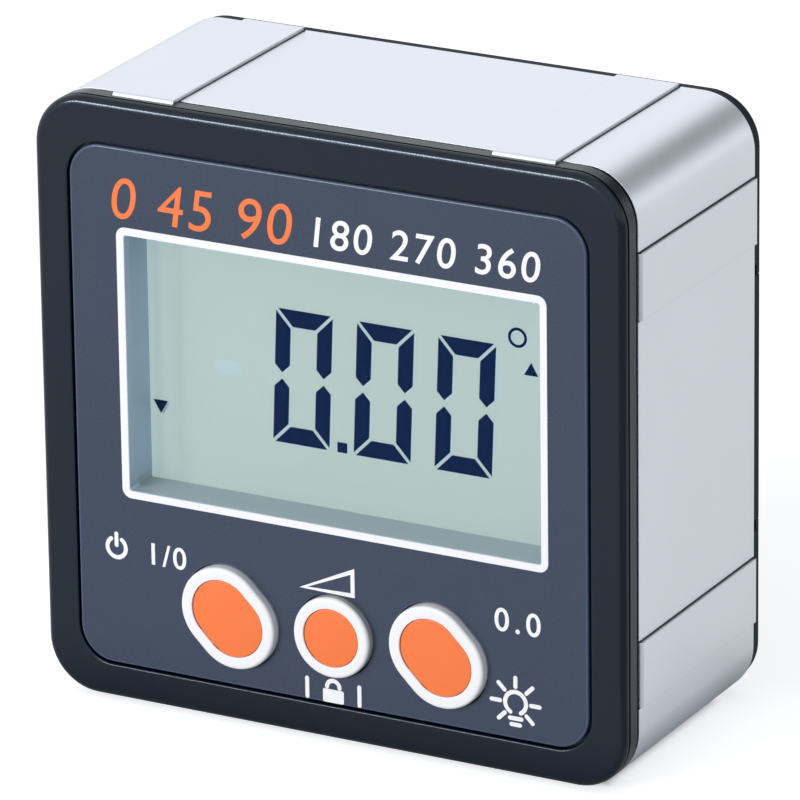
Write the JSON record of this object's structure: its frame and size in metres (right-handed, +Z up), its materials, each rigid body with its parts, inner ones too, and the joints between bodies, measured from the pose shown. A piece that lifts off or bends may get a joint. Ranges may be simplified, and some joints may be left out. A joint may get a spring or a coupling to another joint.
{
  "type": "digital inclinometer",
  "caption": "Pocket digital angle gauge: black front bezel with a recessed display and round keys, aluminium body with raised measuring pads, magnetic base and a sliding battery door.",
  "frame": {"origin": "middle of the footprint, on the plane of the base pads", "axes": "+Z up, the display faces -Y, +X to the right as seen from the front"},
  "size_m": [0.056, 0.0266, 0.0544],
  "materials": {
    "aluminium": "satin, clear anodised",
    "magnet": "bright nickel plate",
    "black_plastic": "fine grained black",
    "face_plastic": "satin slate blue-grey",
    "clear_window": "clear, polished",
    "display_glass": "grey-green liquid crystal glass",
    "slate_plastic": "moulded, slate grey",
    "frosted_plastic": "frosted white",
    "led_resin": "pale yellow resin",
    "contact_rubber": "striped conductive rubber",
    "board": "green solder mask",
    "chip_resin": "black moulded resin",
    "white_plastic": "white, half gloss",
    "orange_plastic": "satin orange",
    "steel": "nickel plated",
    "cell_jacket": "printed steel can, left plain"
  },
  "bodies": {
    "case": {"body_frame": "aluminium", "base_magnet_left": "magnet", "base_magnet_right": "magnet", "front_bezel": "black_plastic", "face_plate": "face_plastic", "display_window": "clear_window", "lcd_glass": "display_glass", "lcd_holder": "slate_plastic", "light_guide": "frosted_plastic", "backlight_led_left": "led_resin", "backlight_led_right": "led_resin", "contact_strip_upper": "contact_rubber", "contact_strip_lower": "contact_rubber", "main_board": "board", "microcontroller": "chip_resin", "tilt_sensor": "chip_resin", "clock_crystal": "steel", "power_switch_body": "chip_resin", "hold_switch_body": "chip_resin", "zero_switch_body": "chip_resin", "back_cover": "black_plastic", "battery_cell_upper": "cell_jacket", "battery_cell_lower": "cell_jacket", "contact_bridge": "steel", "positive_contact": "steel", "negative_contact": "steel", "upper_contact_spring": "steel", "lower_contact_spring": "steel", "case_screw_1": "steel", "case_screw_2": "steel", "case_screw_3": "steel", "case_screw_4": "steel", "board_screw_1": "steel", "board_screw_2": "steel", "board_screw_3": "steel", "board_screw_4": "steel"},
    "power_key": {"power_key_cap": "white_plastic", "power_key_inlay": "orange_plastic", "power_switch_plunger": "slate_plastic"},
    "hold_key": {"hold_key_cap": "white_plastic", "hold_key_inlay": "orange_plastic", "hold_switch_plunger": "slate_plastic"},
    "zero_key": {"zero_key_cap": "white_plastic", "zero_key_inlay": "orange_plastic", "zero_switch_plunger": "slate_plastic"},
    "door": {"battery_door": "black_plastic"}
  },
  "joints": [
    {"name": "power_key_press", "type": "slide", "parent": "case", "child": "power_key", "axis": [0, 1, 0], "range_m": [0, 0.0004], "stiffness_N_per_m": 2000, "springref_m": -0.0003},
    {"name": "hold_key_press", "type": "slide", "parent": "case", "child": "hold_key", "axis": [0, 1, 0], "range_m": [0, 0.0004], "stiffness_N_per_m": 2000, "springref_m": -0.0003},
    {"name": "zero_key_press", "type": "slide", "parent": "case", "child": "zero_key", "axis": [0, 1, 0], "range_m": [0, 0.0004], "stiffness_N_per_m": 2000, "springref_m": -0.0003},
    {"name": "battery_door_slide", "type": "slide", "parent": "case", "child": "door", "axis": [1, 0, 0], "range_m": [0, 0.048]}
  ]
}
